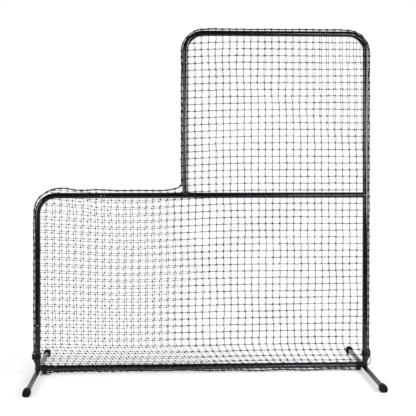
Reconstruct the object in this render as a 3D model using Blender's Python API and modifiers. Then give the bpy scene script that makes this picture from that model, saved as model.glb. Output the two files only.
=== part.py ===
"""A baseball L screen: a painted steel tube frame in an L shape, under a pillow-case net.

The screen stands in the XZ plane, with the floor at Z 0 and the pitcher's notch at its upper left.
The tubes join by swaged ends, which slide into the next tube and are held by spring snap buttons.
"""

import math

import bmesh
import bpy
from mathutils import Matrix, Vector

# Frame, in metres: widths and heights are between tube centrelines unless they say otherwise
SCREEN_WIDTH = 2.110  # over the outer uprights
NOTCH_WIDTH = 0.925  # left upright to mid upright
CROSSBAR_RISE = 1.084  # bottom rail to crossbar
TOP_RISE = 2.108  # bottom rail to top rail
BEND_RADIUS = 0.115
BEND_STEPS = 8

# Tube, swaged ends and welds
TUBE_OD = 0.035
TUBE_WALL = 0.0016
SLIP_CLEARANCE = 0.0004  # radial, between a swaged end and the bore round it
SPIGOT_LENGTH = 0.080
SWAGE_TAPER = 0.003
RING_GAP = 0.0005  # between the outer tube's end and the foot of the taper
WELD_GAP = 0.0003
SEAT_GAP = 0.0003
OVERRUN = 0.004  # how far a cutter runs past what it cuts

# Where the tubes part
HOOP_LEG = 0.430  # top rail's centreline down to the hoop's ends
SHOULDER_RAIL_LEG = 0.415
SHOULDER_UPRIGHT_LEG = 0.405
POST_RISE = 0.252  # bottom rail's centreline up to the post's ring
RAIL_STUB_LENGTH = 0.110  # upright's centreline to the stub's ring

# Base legs and rubber feet
LEG_OD = 0.032
LEG_WALL = 0.0016
LEG_HEIGHT = 0.024  # leg's centreline above the floor
BASE_DEPTH = 1.040  # over the feet
RAIL_RISE = 0.018  # leg's centreline up to the bottom rail's
SADDLE_RISE = 0.006  # leg's centreline up to the lowest edge of the post
CAP_OD = 0.047
CAP_LENGTH = 0.045
CAP_END = 0.006
CAP_FIT = 0.0004
CAP_FOOT_WIDTH = 0.036
CAP_EDGE = 0.002
CAP_STEPS = 16

# Snap buttons and their springs
BUTTON_OD = 0.008
BUTTON_PROUD = 0.0025  # past the outer tube
BUTTON_DOME = 0.0028
BUTTON_INSET = 0.018  # ring to button
BUTTON_HOLE_FIT = 0.0006
SPRING_WIDTH = 0.008
SPRING_THICKNESS = 0.001
SPRING_ARM = 0.045  # button to the spring's bend
SPRING_TAIL = 0.006
SPRING_BEND_GAP = 0.0006

# Net, its rope and its lacing
NET_STRAND = 0.003
NET_PITCH = 0.195
NET_CORNER_CUT = 0.090  # the net's lower corners stop short of the base legs
NET_BEND_STEPS = 4
ROPE_OD = 0.006
ROPE_STANDOFF = 0.0115  # tube's surface to the rope's centreline
ROPE_CORNER = 0.045  # the rope's bend in the notch's inner corner
ROPE_STEPS = 6  # in each of its bends
ROPE_SPAN_STEPS = 3  # between the points below
LACING_OD = 0.003
LACING_POINTS = 10
LACING_GAP = 0.0005
LACING_LOOPS_PER_CELL = 2
LACING_MARGIN = 0.095  # from the outer uprights
LACING_PHASE_SHARE = 0.35  # of a loop, so that it passes between the strands

# The rope's way from the upright's outer side, round the base post's front, to under the rail:
# outwards, forwards and upwards from where post and rail meet, as shares of its distance from them
ROPE_CORNER_SHARES = (
    (1.0, 0.0, 2.9),
    (0.8, 0.45, 2.0),
    (0.35, 0.9, 1.3),
    (-0.5, 1.0, 0.55),
    (-1.15, 0.9, -0.35),
    (-1.6, 0.45, -0.9),
    (-2.2, 0.0, -1.0),
)

TUBE_BEVEL = 6  # 16 sides
ROUND_SIDES = 20
BUTTON_SIDES = 12
LOOP_STEPS = 8
DOME_STEPS = 3

# Worked out from those above
TUBE_R = TUBE_OD / 2
SPIGOT_R = TUBE_R - TUBE_WALL - SLIP_CLEARANCE
LEG_R = LEG_OD / 2
BUTTON_R = BUTTON_OD / 2
ROPE_R = ROPE_OD / 2
LACING_R = LACING_OD / 2
ROPE_REACH = TUBE_R + ROPE_STANDOFF
RIGHT_X = (SCREEN_WIDTH - TUBE_OD) / 2
LEFT_X = -RIGHT_X
MID_X = LEFT_X + NOTCH_WIDTH
RAIL_Z = LEG_HEIGHT + RAIL_RISE
CROSSBAR_Z = RAIL_Z + CROSSBAR_RISE
TOP_Z = RAIL_Z + TOP_RISE
LOWER_RING_Z = CROSSBAR_Z - SHOULDER_UPRIGHT_LEG
HOOP_RING_Z = TOP_Z - HOOP_LEG
POST_RING_Z = RAIL_Z + POST_RISE
SEAM = (NET_STRAND + SEAT_GAP) * math.sqrt(2)  # between the net's parts, also where their edges slant

UP = Vector((0, 0, 1))
RIGHT = Vector((1, 0, 0))
BACK = Vector((0, 1, 0))


def clear_scene():
    for old in list(bpy.data.objects):
        bpy.data.objects.remove(old)


def new_collection(name):
    collection = bpy.data.collections.new(name)
    bpy.context.scene.collection.children.link(collection)
    return collection


def new_material(name, colour, roughness, metallic):
    material = bpy.data.materials.new(name)
    material.use_nodes = True
    shader = material.node_tree.nodes["Principled BSDF"]
    shader.inputs["Base Color"].default_value = (*colour, 1)
    shader.inputs["Roughness"].default_value = roughness
    shader.inputs["Metallic"].default_value = metallic
    material.diffuse_color = (*colour, 1)
    return material


def new_object(name, data, material, where=None):
    obj = bpy.data.objects.new(name, data)
    (where or screen).objects.link(obj)
    if material:
        data.materials.clear()
        data.materials.append(material)
    return obj


def evaluated_mesh(obj):
    """The object's mesh with its modifiers applied, or a curve's skin; the object itself is removed."""
    graph = bpy.context.evaluated_depsgraph_get()
    mesh = bpy.data.meshes.new_from_object(obj.evaluated_get(graph))
    bpy.data.objects.remove(obj)
    return mesh


def path_curve(name, points, radius, bevel_resolution, radii=None, cyclic=False):
    """A round tube along the points. radii gives it another radius at each point."""
    curve = bpy.data.curves.new(name, "CURVE")
    curve.dimensions = "3D"
    curve.bevel_depth = radius
    curve.bevel_resolution = bevel_resolution
    spline = curve.splines.new("POLY")
    spline.points.add(len(points) - 1)
    for number, (point, place) in enumerate(zip(spline.points, points)):
        point.co = (*place, 1)
        if radii:
            point.radius = radii[number] / radius
    spline.use_cyclic_u = cyclic
    return curve


def at(x, z):
    """A point in the screen's plane."""
    return Vector((x, 0, z))


def bent(corners):
    """A centreline through the corners, with each right angle rounded to the bend radius."""
    points = [corners[0]]
    for before, corner, after in zip(corners, corners[1:], corners[2:]):
        arrive = (before - corner).normalized()
        leave = (after - corner).normalized()
        centre = corner + (arrive + leave) * BEND_RADIUS
        for step in range(BEND_STEPS + 1):
            turn = math.pi / 2 * step / BEND_STEPS
            points.append(centre - (leave * math.cos(turn) + arrive * math.sin(turn)) * BEND_RADIUS)
    return points + [corners[-1]]


def swaged(points, radii):
    """The path's last end narrowed to slide into the tube that stops there."""
    ring = points[-1]
    along = (ring - points[-2]).normalized()
    taper = ring - along * (RING_GAP + SWAGE_TAPER)
    neck = ring - along * RING_GAP
    tip = ring + along * SPIGOT_LENGTH
    return points[:-1] + [taper, neck, tip], radii[:-1] + [radii[-1], SPIGOT_R, SPIGOT_R]


def tube(name, points, outer=TUBE_R, wall=TUBE_WALL, start_swaged=False, end_swaged=False):
    """A hollow tube along the points, open at both ends."""
    radii = [outer] * len(points)
    if end_swaged:
        points, radii = swaged(points, radii)
    if start_swaged:
        points, radii = swaged(points[::-1], radii[::-1])
    skin = bpy.data.objects.new(name, path_curve(name, points, outer, TUBE_BEVEL, radii))
    guides.objects.link(skin)
    mesh = evaluated_mesh(skin)
    obj = new_object(name, mesh, painted_steel)
    solidify = obj.modifiers.new("wall", "SOLIDIFY")
    solidify.thickness = wall
    solidify.offset = -1
    solidify.use_even_offset = True
    smooth(mesh)
    return obj


def smooth(mesh, degrees=35):
    mesh.shade_smooth()
    mesh.set_sharp_from_angle(angle=math.radians(degrees))


def cylinder_mesh(name, radius, length, sides):
    """A solid cylinder along Z, centred on the origin."""
    bm = bmesh.new()
    bmesh.ops.create_cone(
        bm, cap_ends=True, segments=sides, radius1=radius, radius2=radius, depth=length
    )
    mesh = bpy.data.meshes.new(name)
    bm.to_mesh(mesh)
    bm.free()
    return mesh


def box_mesh(name, size, centre):
    bm = bmesh.new()
    bmesh.ops.create_cube(bm, size=1)
    bmesh.ops.scale(bm, vec=size, verts=bm.verts)
    bmesh.ops.translate(bm, vec=centre, verts=bm.verts)
    mesh = bpy.data.meshes.new(name)
    bm.to_mesh(mesh)
    bm.free()
    return mesh


def cutter(name, mesh, placement):
    obj = new_object(name, mesh, None, guides)
    obj.matrix_world = placement
    obj.hide_render = True
    obj.display_type = "WIRE"
    return obj


def combine(obj, other, operation):
    boolean = obj.modifiers.new(other.name, "BOOLEAN")
    boolean.operation = operation
    boolean.solver = "EXACT"
    boolean.object = other


def rod_cutter(name, centre, along, radius, length):
    """A solid round bar for coping one tube's end to another's side."""
    placement = Matrix.Translation(centre) @ along.to_track_quat("Z", "Y").to_matrix().to_4x4()
    return cutter(name, cylinder_mesh(name, radius, length, ROUND_SIDES), placement)


def cope(obj, centre, along, radius):
    """Shapes the tube's end to sit on a round tube that passes it, a weld's gap away."""
    length = (TUBE_R + OVERRUN) * 2
    combine(obj, rod_cutter(f"{obj.name}_cope", centre, along, radius + WELD_GAP, length), "DIFFERENCE")


def local_frame(origin, along, facing):
    """Local X runs along, and local Z faces out of the tube."""
    side = facing.cross(along)
    frame = Matrix((along, side, facing)).transposed().to_4x4()
    frame.translation = origin
    return frame


def spring_height():
    """How far off the tube's centreline the spring's arms lie, with their edges just off the bore."""
    flats = math.cos(math.pi / (4 + 2 * TUBE_BEVEL))
    reach = (SPIGOT_R - TUBE_WALL) * flats - SEAT_GAP
    return math.sqrt(reach**2 - (SPRING_WIDTH / 2) ** 2) - SPRING_THICKNESS / 2


def button_mesh():
    """The button and its spring arm, with the arm's bend at the origin and the button at -X."""
    top = TUBE_R + BUTTON_PROUD - spring_height()
    outline = []
    for step in range(DOME_STEPS + 1):
        turn = math.pi / 2 * step / DOME_STEPS
        outline.append((BUTTON_R * math.sin(turn), 0, top - BUTTON_DOME * (1 - math.cos(turn))))
    outline += [(BUTTON_R, 0, 0), (0, 0, 0)]
    profile = bpy.data.meshes.new("button_profile")
    profile.from_pydata(outline, [(n, n + 1) for n in range(len(outline) - 1)], [])
    pin = new_object("button_pin", profile, None, guides)
    turned = pin.modifiers.new("turned", "SCREW")
    turned.steps = turned.render_steps = BUTTON_SIDES
    turned.use_merge_vertices = True
    turned.merge_threshold = 1e-6
    pin_mesh = evaluated_mesh(pin)
    pin_mesh.transform(Matrix.Translation((-SPRING_ARM, 0, 0)))
    length = SPRING_ARM + SPRING_TAIL
    arm_mesh = box_mesh("button_arm", (length, SPRING_WIDTH, SPRING_THICKNESS), (-length / 2, 0, 0))
    arm = new_object("button_arm", arm_mesh, None, guides)
    pin = new_object("button_pin", pin_mesh, None, guides)
    combine(arm, pin, "UNION")
    mesh = evaluated_mesh(arm)
    bpy.data.objects.remove(pin)
    smooth(mesh)
    return mesh


def spring_mesh():
    """The spring's bend and its resting arm, in the frame of the button's arm."""
    height = spring_height()
    outline = []
    for step in range(LOOP_STEPS + 1):
        turn = math.pi * step / LOOP_STEPS
        outline.append((SPRING_BEND_GAP + height * math.sin(turn), height * (math.cos(turn) - 1)))
    outline.append((-SPRING_ARM - SPRING_TAIL, -2 * height))
    curve = bpy.data.curves.new("spring_strip", "CURVE")
    curve.dimensions = "2D"
    curve.fill_mode = "NONE"
    curve.extrude = SPRING_WIDTH / 2
    spline = curve.splines.new("POLY")
    spline.points.add(len(outline) - 1)
    for point, (x, y) in zip(spline.points, outline):
        point.co = (x, y, 0, 1)
    strip = bpy.data.objects.new("spring_strip", curve)
    guides.objects.link(strip)
    mesh = evaluated_mesh(strip)
    mesh.transform(Matrix.Rotation(math.pi / 2, 4, "X"))
    strip = new_object("spring_strip", mesh, None, guides)
    solidify = strip.modifiers.new("gauge", "SOLIDIFY")
    solidify.thickness = SPRING_THICKNESS
    solidify.offset = 0
    solidify.use_even_offset = True
    mesh = evaluated_mesh(strip)
    smooth(mesh)
    return mesh


def snap_joint(name, ring, into, facing, inner, outer):
    """A snap button and its spring in the inner tube, and its hole through both tubes.

    ring is where the outer tube ends, into points on into that tube, and facing is the button's way.
    """
    button = ring + into * BUTTON_INSET
    hole_length = TUBE_WALL * 2 + SLIP_CLEARANCE + OVERRUN
    hole = rod_cutter(
        f"{name}_hole",
        button + facing * (TUBE_R + OVERRUN / 2 - hole_length / 2),
        facing,
        BUTTON_R + BUTTON_HOLE_FIT,
        hole_length,
    )
    combine(inner, hole, "DIFFERENCE")
    combine(outer, hole, "DIFFERENCE")
    pivot = button + into * SPRING_ARM + facing * spring_height()
    frame = local_frame(pivot, into, facing)
    new_object(f"{name}_button", button_data, zinc).matrix_world = frame
    new_object(f"{name}_spring", spring_data, spring_steel).matrix_world = frame


def cap_outline():
    """The foot's outline seen along its leg: round above, with sides that run down to a flat base."""
    radius = CAP_OD / 2
    half = CAP_FOOT_WIDTH / 2
    side = math.acos(radius / math.hypot(half, LEG_HEIGHT)) - math.atan2(LEG_HEIGHT, half)
    turns = [side + (math.pi - 2 * side) * n / CAP_STEPS for n in range(CAP_STEPS + 1)]
    arc = [at(radius * math.cos(turn), radius * math.sin(turn)) for turn in turns]
    return [at(half, -LEG_HEIGHT)] + arc + [at(-half, -LEG_HEIGHT)]


def cap_mesh():
    """A rubber foot, closed at +Y, with the end of its leg at the origin."""
    bore_depth = CAP_LENGTH - CAP_END
    profile = bpy.data.meshes.new("cap_profile")
    outline = cap_outline()
    profile.from_pydata(outline, [], [range(len(outline))])
    profile.transform(Matrix.Translation(BACK * (SEAT_GAP - bore_depth)))
    body = new_object("cap_body", profile, None, guides)
    length = body.modifiers.new("length", "SOLIDIFY")
    length.thickness = CAP_LENGTH
    length.offset = -1
    edge = body.modifiers.new("edge", "BEVEL")
    edge.width = CAP_EDGE
    edge.segments = 2
    edge.limit_method = "ANGLE"
    edge.angle_limit = math.radians(60)
    bore_length = bore_depth + OVERRUN
    bore_data = cylinder_mesh("cap_bore", LEG_R + CAP_FIT, bore_length, ROUND_SIDES)
    turn = Matrix.Rotation(-math.pi / 2, 4, "X")
    bore_data.transform(Matrix.Translation(BACK * (SEAT_GAP - bore_length / 2)) @ turn)
    bore = new_object("cap_bore", bore_data, None, guides)
    combine(body, bore, "DIFFERENCE")
    mesh = evaluated_mesh(body)
    bpy.data.objects.remove(bore)
    smooth(mesh)
    return mesh


def net_plane():
    """The net layers' distance from the screen's plane, and their edges' at the rope.

    A strand runs straight from the plane to the rope and just clears the tube.
    """
    edge = ROPE_R + SEAT_GAP + NET_STRAND / 2
    clear = TUBE_R + SEAT_GAP + NET_STRAND / 2
    angle = math.atan2(edge, ROPE_REACH) + math.acos(clear / math.hypot(ROPE_REACH, edge))
    return clear / math.sin(angle), edge


def stations(start, end):
    """Strand places from one tube's centreline to the next, near the net's pitch apart."""
    count = max(1, round(abs(end - start) / NET_PITCH))
    return [start + (end - start) * n / count for n in range(count + 1)]


def outward(place, bends):
    """From the tubes' centreline towards the rope: square off a straight run, radial round a bend."""
    for corner, centre in bends:
        from_corner = place - corner
        if max(abs(from_corner.x), abs(from_corner.z)) < BEND_RADIUS - SEAT_GAP:
            return (place - centre).normalized()
    way = Vector((0, 0, 0))
    over_notch_sill = abs(place.z - CROSSBAR_Z) < SEAM * 2 and place.x < MID_X + SEAM
    beside_notch = abs(place.x - MID_X) < SEAM and place.z > CROSSBAR_Z - SEAM
    if abs(place.z - RAIL_Z) < SEAT_GAP:
        way.z = -1
    elif abs(place.z - TOP_Z) < SEAT_GAP or over_notch_sill:
        way.z = 1
    if abs(place.x - RIGHT_X) < SEAT_GAP:
        way.x = 1
    elif abs(place.x - LEFT_X) < SEAT_GAP or beside_notch:
        way.x = -1
    return way


def trim_corner(bm, corner, size, steps):
    """Rounds or cuts one corner of a flat grid."""
    nearest = min(bm.verts, key=lambda vert: (vert.co - corner).length)
    bmesh.ops.bevel(
        bm,
        geom=[nearest],
        offset=size,
        offset_type="OFFSET",
        segments=steps,
        profile=0.5,
        affect="VERTICES",
    )


def net(name, xs, zs, rounded, cut, on_rim, layer):
    """One part of a layer: a grid of strands, whose edge bends in to the rope where on_rim says.

    rounded lists the corners that follow a tube's bend, and cut those that stop short of the legs.
    """
    plane, rim = net_plane()
    bm = bmesh.new()
    bmesh.ops.create_grid(bm, x_segments=len(xs) - 1, y_segments=len(zs) - 1, size=0.5)
    for vert in bm.verts:
        column = round((vert.co.x + 0.5) * (len(xs) - 1))
        row = round((vert.co.y + 0.5) * (len(zs) - 1))
        vert.co = at(xs[column], zs[row])
    bends = []
    for corner in rounded:
        trim_corner(bm, corner, BEND_RADIUS, NET_BEND_STEPS)
        inward = 1 if corner.x < sum(xs) / len(xs) else -1
        bends.append((corner, corner + at(inward, -1) * BEND_RADIUS))
    for corner in cut:
        trim_corner(bm, corner, NET_CORNER_CUT, 1)
    rims = [edge for edge in bm.edges if edge.is_boundary and on_rim(*[v.co for v in edge.verts])]
    made = bmesh.ops.extrude_edge_only(bm, edges=rims)["geom"]
    outer = {item for item in made if isinstance(item, bmesh.types.BMVert)}
    for vert in bm.verts:
        if vert in outer:
            vert.co += outward(vert.co, bends) * ROPE_REACH
            vert.co.y = layer * rim
        else:
            vert.co.y = layer * plane
    bmesh.ops.recalc_face_normals(bm, faces=bm.faces)
    mesh = bpy.data.meshes.new(name)
    bm.to_mesh(mesh)
    bm.free()
    obj = new_object(name, mesh, nylon)
    wire = obj.modifiers.new("strands", "WIREFRAME")
    wire.thickness = NET_STRAND
    wire.offset = 0
    wire.use_boundary = True
    wire.use_even_offset = True
    return obj


def on_lower_rim(a, b):
    """Whether an edge of the lower part lies along the rope: not the crossbar's seam, nor a cut corner."""
    seamed = min(a.z, b.z) > CROSSBAR_Z - BEND_RADIUS and max(a.x, b.x) > MID_X + SEAM
    along_side = abs(a.x - b.x) < SEAT_GAP or abs(a.z - b.z) < SEAT_GAP
    return (along_side or min(a.z, b.z) > CROSSBAR_Z / 2) and not seamed


def on_upper_rim(a, b):
    return max(a.z, b.z) > CROSSBAR_Z + SEAM * 2


def curved(places):
    """A smooth curve through the places, by Catmull and Rom's rule."""
    ends = [places[0] * 2 - places[1]] + places + [places[-1] * 2 - places[-2]]
    points = []
    for a, b, c, d in zip(ends, ends[1:], ends[2:], ends[3:]):
        for step in range(ROPE_SPAN_STEPS):
            t = step / ROPE_SPAN_STEPS
            ahead = (c - a) * t + (a * 2 - b * 5 + c * 4 - d) * t**2 + (b * 3 - a - c * 3 + d) * t**3
            points.append(b + ahead / 2)
    return points + [places[-1]]


def rope_corner(side):
    """From the side of the upright, round the post's front and in under the rail."""
    places = [
        Vector((RIGHT_X + out * ROPE_REACH, -front * ROPE_REACH, RAIL_Z + up * ROPE_REACH))
        for out, front, up in ROPE_CORNER_SHARES
    ]
    return [Vector((side * place.x, place.y, place.z)) for place in curved(places)]


def rope_arc(centre, radius, start, end):
    turns = [math.radians(start + (end - start) * n / ROPE_STEPS) for n in range(ROPE_STEPS + 1)]
    return [centre + at(math.cos(turn), math.sin(turn)) * radius for turn in turns]


def rope_route():
    """The border rope's loop: outside the frame's tubes, and round the front of each base post."""
    around = BEND_RADIUS + ROPE_REACH
    inset = ROPE_REACH + ROPE_CORNER
    route = rope_corner(1)[::-1]
    route += rope_arc(at(RIGHT_X - BEND_RADIUS, TOP_Z - BEND_RADIUS), around, 0, 90)
    route += rope_arc(at(MID_X + BEND_RADIUS, TOP_Z - BEND_RADIUS), around, 90, 180)
    route += rope_arc(at(MID_X - inset, CROSSBAR_Z + inset), ROPE_CORNER, 0, -90)
    route += rope_arc(at(LEFT_X + BEND_RADIUS, CROSSBAR_Z - BEND_RADIUS), around, 90, 180)
    return route + rope_corner(-1)


def lacing_route(columns):
    """Loops round the bottom rail, the net's foot and the rope, each taller below the rail than above.

    Every cell of the net has the same number of loops, which pass between its strands.
    """
    wide = net_plane()[0] + NET_STRAND / 2 + LACING_R + LACING_GAP * 4
    over = TUBE_R + LACING_R + LACING_GAP * 3
    under = ROPE_REACH + ROPE_R + LACING_R + LACING_GAP

    def along(cells):
        column = int(cells)
        return columns[column] + (columns[column + 1] - columns[column]) * (cells - column)

    loops = (len(columns) - 1) * LACING_LOOPS_PER_CELL
    tops = [(loop + LACING_PHASE_SHARE) / LACING_LOOPS_PER_CELL for loop in range(loops)]
    laced = [top for top in tops if abs(along(top)) < RIGHT_X - LACING_MARGIN]
    points = []
    for number in range((len(laced) - 1) * LACING_POINTS + 1):
        turn = 2 * math.pi * number / LACING_POINTS
        height = math.cos(turn) * (over if math.cos(turn) > 0 else under)
        x = along(laced[0] + number / LACING_POINTS / LACING_LOOPS_PER_CELL)
        points.append(Vector((x, wide * math.sin(turn), RAIL_Z + height)))
    return points


def least_gap(points, loop_points, diameter):
    """How near a wound cord comes to its own other loops, measured on its points."""
    pairs = [(a, b) for n, a in enumerate(points) for b in points[n + loop_points // 2 :]]
    return min((a - b).length for a, b in pairs) - diameter


def cord(name, points, radius, bevel_resolution, cyclic):
    curve = path_curve(name, points, radius, bevel_resolution, cyclic=cyclic)
    curve.use_fill_caps = not cyclic
    print(f"{name}: {curve.splines[0].calc_length():.3f} m along {len(points)} points")
    return new_object(name, curve, nylon)


clear_scene()
screen = new_collection("baseball_l_screen")
guides = new_collection("cutters_and_guides")

painted_steel = new_material("painted_steel", (0.02, 0.02, 0.022), 0.35, 0.3)
zinc = new_material("zinc", (0.72, 0.73, 0.75), 0.3, 1.0)
spring_steel = new_material("spring_steel", (0.45, 0.46, 0.48), 0.4, 1.0)
rubber = new_material("rubber", (0.025, 0.025, 0.025), 0.75, 0.0)
nylon = new_material("nylon", (0.03, 0.03, 0.035), 0.8, 0.0)

button_data = button_mesh()
spring_data = spring_mesh()
cap_data = cap_mesh()

# The bent tubes
top_hoop = tube(
    "top_hoop",
    bent([at(MID_X, HOOP_RING_Z), at(MID_X, TOP_Z), at(RIGHT_X, TOP_Z), at(RIGHT_X, HOOP_RING_Z)]),
)
shoulder_ring = at(LEFT_X + SHOULDER_RAIL_LEG, CROSSBAR_Z)
shoulder_elbow = tube(
    "shoulder_elbow", bent([at(LEFT_X, LOWER_RING_Z), at(LEFT_X, CROSSBAR_Z), shoulder_ring])
)

# The crossbar and the two uprights welded to it
crossbar = tube("crossbar", [shoulder_ring, at(RIGHT_X, CROSSBAR_Z)], start_swaged=True)
cope(crossbar, at(RIGHT_X, CROSSBAR_Z), UP, TUBE_R)
mid_upright = tube("mid_upright", [at(MID_X, CROSSBAR_Z), at(MID_X, HOOP_RING_Z)], end_swaged=True)
cope(mid_upright, at(MID_X, CROSSBAR_Z), RIGHT, TUBE_R)
right_upright = tube(
    "right_upright", [at(RIGHT_X, LOWER_RING_Z), at(RIGHT_X, HOOP_RING_Z)], end_swaged=True
)

snap_joint("hoop_left", at(MID_X, HOOP_RING_Z), UP, RIGHT, mid_upright, top_hoop)
snap_joint("hoop_right", at(RIGHT_X, HOOP_RING_Z), UP, -RIGHT, right_upright, top_hoop)
snap_joint("shoulder", shoulder_ring, -RIGHT, -BACK, crossbar, shoulder_elbow)

# Lower uprights, bottom rail and base, on the left and on the right
upper_tubes = {"left": shoulder_elbow, "right": right_upright}
post_facing = {"left": -BACK, "right": BACK}
rail_middle = at(0, RAIL_Z)
rails = {}
for side, x, inward in (("left", LEFT_X, RIGHT), ("right", RIGHT_X, -RIGHT)):
    lower_ring = at(x, LOWER_RING_Z)
    post_ring = at(x, POST_RING_Z)
    stub_ring = at(x, RAIL_Z) + inward * RAIL_STUB_LENGTH
    upright = tube(f"lower_{side}_upright", [post_ring, lower_ring], end_swaged=True)
    post = tube(f"{side}_base_post", [at(x, LEG_HEIGHT + SADDLE_RISE), post_ring], end_swaged=True)
    stub = tube(f"{side}_rail_stub", [at(x, RAIL_Z), stub_ring], end_swaged=True)
    rails[side] = tube(f"bottom_rail_{side}", [stub_ring, rail_middle], end_swaged=side == "left")
    cope(post, at(x, LEG_HEIGHT), BACK, LEG_R)
    cope(stub, at(x, RAIL_Z), UP, TUBE_R)
    combine(stub, bpy.data.objects[f"{side}_base_post_cope"], "DIFFERENCE")
    leg_half = BASE_DEPTH / 2 - CAP_END - SEAT_GAP
    ends = [Vector((x, way * leg_half, LEG_HEIGHT)) for way in (-1, 1)]
    tube(f"{side}_base_leg", ends, outer=LEG_R, wall=LEG_WALL)
    for place, way in (("front", -1), ("rear", 1)):
        cap = new_object(f"{place}_{side}_foot", cap_data, rubber)
        cap.location = (x, way * leg_half, LEG_HEIGHT)
        cap.rotation_euler.z = 0 if way > 0 else math.pi
    snap_joint(f"{side}_upright", lower_ring, UP, BACK, upright, upper_tubes[side])
    snap_joint(f"{side}_post", post_ring, UP, post_facing[side], post, upright)
    snap_joint(f"{side}_rail", stub_ring, inward, BACK, stub, rails[side])
snap_joint("rail_middle", rail_middle, RIGHT, BACK, rails["left"], rails["right"])

# The net: two layers, each in a lower part and an upper part that meet along the crossbar
right_columns = stations(MID_X, RIGHT_X)
all_columns = stations(LEFT_X, MID_X)[:-1] + right_columns
for place, layer in (("front", -1), ("back", 1)):
    net(
        f"net_{place}_lower",
        all_columns,
        stations(RAIL_Z, CROSSBAR_Z),
        [at(LEFT_X, CROSSBAR_Z)],
        [at(LEFT_X, RAIL_Z), at(RIGHT_X, RAIL_Z)],
        on_lower_rim,
        layer,
    )
    net(
        f"net_{place}_upper",
        right_columns,
        stations(CROSSBAR_Z + SEAM, TOP_Z),
        [at(MID_X, TOP_Z), at(RIGHT_X, TOP_Z)],
        [],
        on_upper_rim,
        layer,
    )

# The border rope and the lacing
cord("border_rope", rope_route(), ROPE_R, 2, cyclic=True)
lacing_points = lacing_route(all_columns)
cord("lacing", lacing_points, LACING_R, 1, cyclic=False)
gap = least_gap(lacing_points, LACING_POINTS, LACING_OD)
print(f"lacing: least gap to itself {gap * 1000:.1f} mm")
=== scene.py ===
"""A baseball L screen: a slip-jointed steel tube frame that carries a two-layer knotted net.

Lengths are in metres. The screen stands in the plane y = 0 and its front faces -Y.
"""

import math
import bpy
import numpy as np
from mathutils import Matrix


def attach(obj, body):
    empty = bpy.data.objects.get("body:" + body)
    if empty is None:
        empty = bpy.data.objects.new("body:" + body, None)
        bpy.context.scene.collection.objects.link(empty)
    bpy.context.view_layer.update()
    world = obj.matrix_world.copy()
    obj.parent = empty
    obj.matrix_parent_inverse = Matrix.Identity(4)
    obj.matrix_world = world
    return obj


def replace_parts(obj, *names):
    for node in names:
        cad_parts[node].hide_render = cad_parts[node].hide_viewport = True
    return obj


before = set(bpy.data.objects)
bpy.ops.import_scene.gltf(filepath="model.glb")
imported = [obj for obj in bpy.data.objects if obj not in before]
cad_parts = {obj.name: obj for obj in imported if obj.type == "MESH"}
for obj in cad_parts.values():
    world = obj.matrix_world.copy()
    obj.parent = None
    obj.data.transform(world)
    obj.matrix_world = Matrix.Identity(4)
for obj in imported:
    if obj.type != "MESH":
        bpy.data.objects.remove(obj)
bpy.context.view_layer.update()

# The base legs. Two round steel tubes lie fore and aft on the floor, one under each side of the
# screen. They are cut square, painted black like the rest of the frame, and capped at both ends.
SIDE_X = 1.0375
LEG_Z = 0.024
LEG_RADIUS = 0.016
LEG_REACH = 0.5137
WALL = 0.0016
TUBE_SIDES = 48
BEND_RINGS = 25
RIM_ROUND = 0.0003
BORE_WEAR = 0.25  # of the wear outside
PAINT_BLACK = (0.0022, 0.0025, 0.0040, 1)
PAINT_DUSTY = (0.0048, 0.0053, 0.0076, 1)
BARE_STEEL = (0.32, 0.32, 0.33, 1)
ACROSS = np.array((0.0, 1.0, 0.0))
RIGHT = np.array((1.0, 0.0, 0.0))
UP = np.array((0.0, 0.0, 1.0))
# An end's rings, from the cut inwards: how far past the end, the radius less the tube's, the wear
SQUARE_END = ((0, -RIM_ROUND, 1), (-RIM_ROUND, 0, 0.8), (-0.0022, 0, 0.25), (-0.008, 0, 0))
SQUARE_ENDS = (SQUARE_END, SQUARE_END)
SIDES = (("left", -SIDE_X, RIGHT), ("right", SIDE_X, -RIGHT))  # each with its way inward


def node_adder(tree):
    """A function that adds a node, links or sets its inputs, and sets its named values."""

    def add(kind, inputs, **values):
        node = tree.nodes.new(f"ShaderNode{kind}")
        for key, value in values.items():
            setattr(node, key, value)
        for key, value in inputs.items():
            if isinstance(value, bpy.types.NodeSocket):
                tree.links.new(value, node.inputs[key])
            else:
                node.inputs[key].default_value = value
        return node.outputs

    return add


def node_material(name):
    """A new material, its Principled shader, and two makers: add for a node, wire to the shader."""
    material = bpy.data.materials.new(name)
    material.use_nodes = True
    tree = material.node_tree
    shader = next(node for node in tree.nodes if node.type == "BSDF_PRINCIPLED")

    def wire(socket, output):
        tree.links.new(output, shader.inputs[socket])

    return material, shader, node_adder(tree), wire


def noise(add, place, scale, detail):
    """Noise in the given coordinates, with about scale lumps to the metre."""
    return add("TexNoise", {"Vector": place, "Scale": scale, "Detail": detail})["Fac"]


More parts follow.
